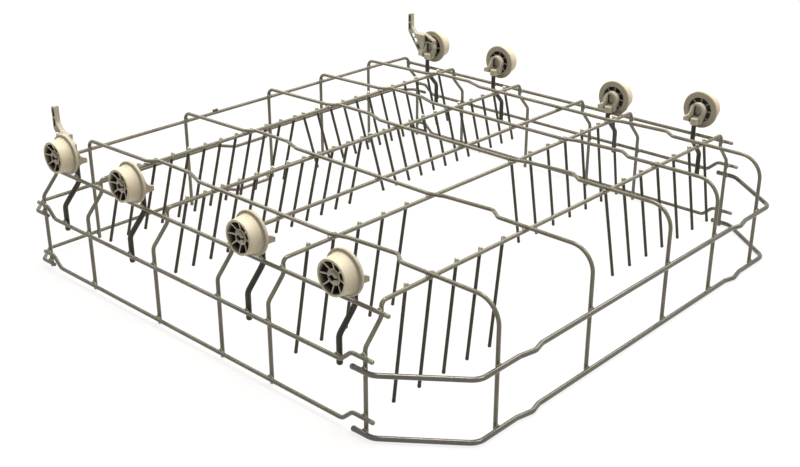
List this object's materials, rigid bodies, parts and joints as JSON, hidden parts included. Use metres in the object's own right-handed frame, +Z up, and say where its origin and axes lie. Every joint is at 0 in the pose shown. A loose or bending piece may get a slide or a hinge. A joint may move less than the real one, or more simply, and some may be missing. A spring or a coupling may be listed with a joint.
{
  "type": "dishwasher basket",
  "caption": "Wire dishwasher basket lying upside down on its rim, with plate tines, side rails, flanged roller wheels on clip-on carriers and hook arms at the rear.",
  "frame": {"origin": "on the floor under the middle of the basket's outline, as the basket stands upside down on its rim", "axes": "+Z up from the floor towards the wheels; -Y towards the front with the slanting corners; +X to the right seen from the front. In use the basket is turned over about X, so that the wheels are underneath."},
  "size_m": [0.5192, 0.5102, 0.1538],
  "materials": {
    "coated_wire": "satin",
    "wheel_plastic": "satin",
    "carrier_plastic": "satin"
  },
  "bodies": {
    "basket": {"cross_wire_1": "coated_wire", "cross_wire_2": "coated_wire", "cross_wire_2_left_tines": "coated_wire", "cross_wire_2_right_tines": "coated_wire", "cross_wire_3": "coated_wire", "cross_wire_3_left_tines": "coated_wire", "cross_wire_3_right_tines": "coated_wire", "cross_wire_4": "coated_wire", "cross_wire_5": "coated_wire", "cross_wire_5_left_tines": "coated_wire", "cross_wire_5_right_tines": "coated_wire", "cross_wire_6": "coated_wire", "cross_wire_6_left_tines": "coated_wire", "cross_wire_6_right_tines": "coated_wire", "front_bottom_rail": "coated_wire", "front_middle_rail": "coated_wire", "left_bottom_rail": "coated_wire", "left_middle_rail": "coated_wire", "left_top_rail": "coated_wire", "left_wheel_carrier_1": "carrier_plastic", "left_wheel_carrier_2": "carrier_plastic", "left_wheel_carrier_3": "carrier_plastic", "left_wheel_carrier_4": "carrier_plastic", "left_wheel_post_1": "coated_wire", "left_wheel_post_2": "coated_wire", "left_wheel_post_3": "coated_wire", "left_wheel_post_4": "coated_wire", "long_wire_1": "coated_wire", "long_wire_2": "coated_wire", "long_wire_3": "coated_wire", "long_wire_4": "coated_wire", "long_wire_5": "coated_wire", "rear_bottom_rail": "coated_wire", "rear_middle_rail": "coated_wire", "rear_stub": "coated_wire", "right_bottom_rail": "coated_wire", "right_middle_rail": "coated_wire", "right_top_rail": "coated_wire", "right_wheel_carrier_1": "carrier_plastic", "right_wheel_carrier_2": "carrier_plastic", "right_wheel_carrier_3": "carrier_plastic", "right_wheel_carrier_4": "carrier_plastic", "right_wheel_post_1": "coated_wire", "right_wheel_post_2": "coated_wire", "right_wheel_post_3": "coated_wire", "right_wheel_post_4": "coated_wire"},
    "left_wheel_1_body": {"left_wheel_1": "wheel_plastic"},
    "left_wheel_2_body": {"left_wheel_2": "wheel_plastic"},
    "left_wheel_3_body": {"left_wheel_3": "wheel_plastic"},
    "left_wheel_4_body": {"left_wheel_4": "wheel_plastic"},
    "right_wheel_1_body": {"right_wheel_1": "wheel_plastic"},
    "right_wheel_2_body": {"right_wheel_2": "wheel_plastic"},
    "right_wheel_3_body": {"right_wheel_3": "wheel_plastic"},
    "right_wheel_4_body": {"right_wheel_4": "wheel_plastic"}
  },
  "joints": [
    {"name": "left_wheel_1_spin", "type": "hinge", "parent": "basket", "child": "left_wheel_1_body", "pos_m": [-0.2521, 0.19325, 0.1172], "axis": [1, 0, 0], "continuous": true},
    {"name": "left_wheel_2_spin", "type": "hinge", "parent": "basket", "child": "left_wheel_2_body", "pos_m": [-0.2521, 0.09505, 0.1172], "axis": [1, 0, 0], "continuous": true},
    {"name": "left_wheel_3_spin", "type": "hinge", "parent": "basket", "child": "left_wheel_3_body", "pos_m": [-0.2521, -0.05635, 0.1172], "axis": [1, 0, 0], "continuous": true},
    {"name": "left_wheel_4_spin", "type": "hinge", "parent": "basket", "child": "left_wheel_4_body", "pos_m": [-0.2521, -0.15525, 0.1172], "axis": [1, 0, 0], "continuous": true},
    {"name": "right_wheel_1_spin", "type": "hinge", "parent": "basket", "child": "right_wheel_1_body", "pos_m": [0.2521, 0.19675, 0.1172], "axis": [1, 0, 0], "continuous": true},
    {"name": "right_wheel_2_spin", "type": "hinge", "parent": "basket", "child": "right_wheel_2_body", "pos_m": [0.2521, 0.09855, 0.1172], "axis": [1, 0, 0], "continuous": true},
    {"name": "right_wheel_3_spin", "type": "hinge", "parent": "basket", "child": "right_wheel_3_body", "pos_m": [0.2521, -0.05285, 0.10785], "axis": [1, 0, 0], "continuous": true},
    {"name": "right_wheel_4_spin", "type": "hinge", "parent": "basket", "child": "right_wheel_4_body", "pos_m": [0.2521, -0.15175, 0.1172], "axis": [1, 0, 0], "continuous": true}
  ]
}
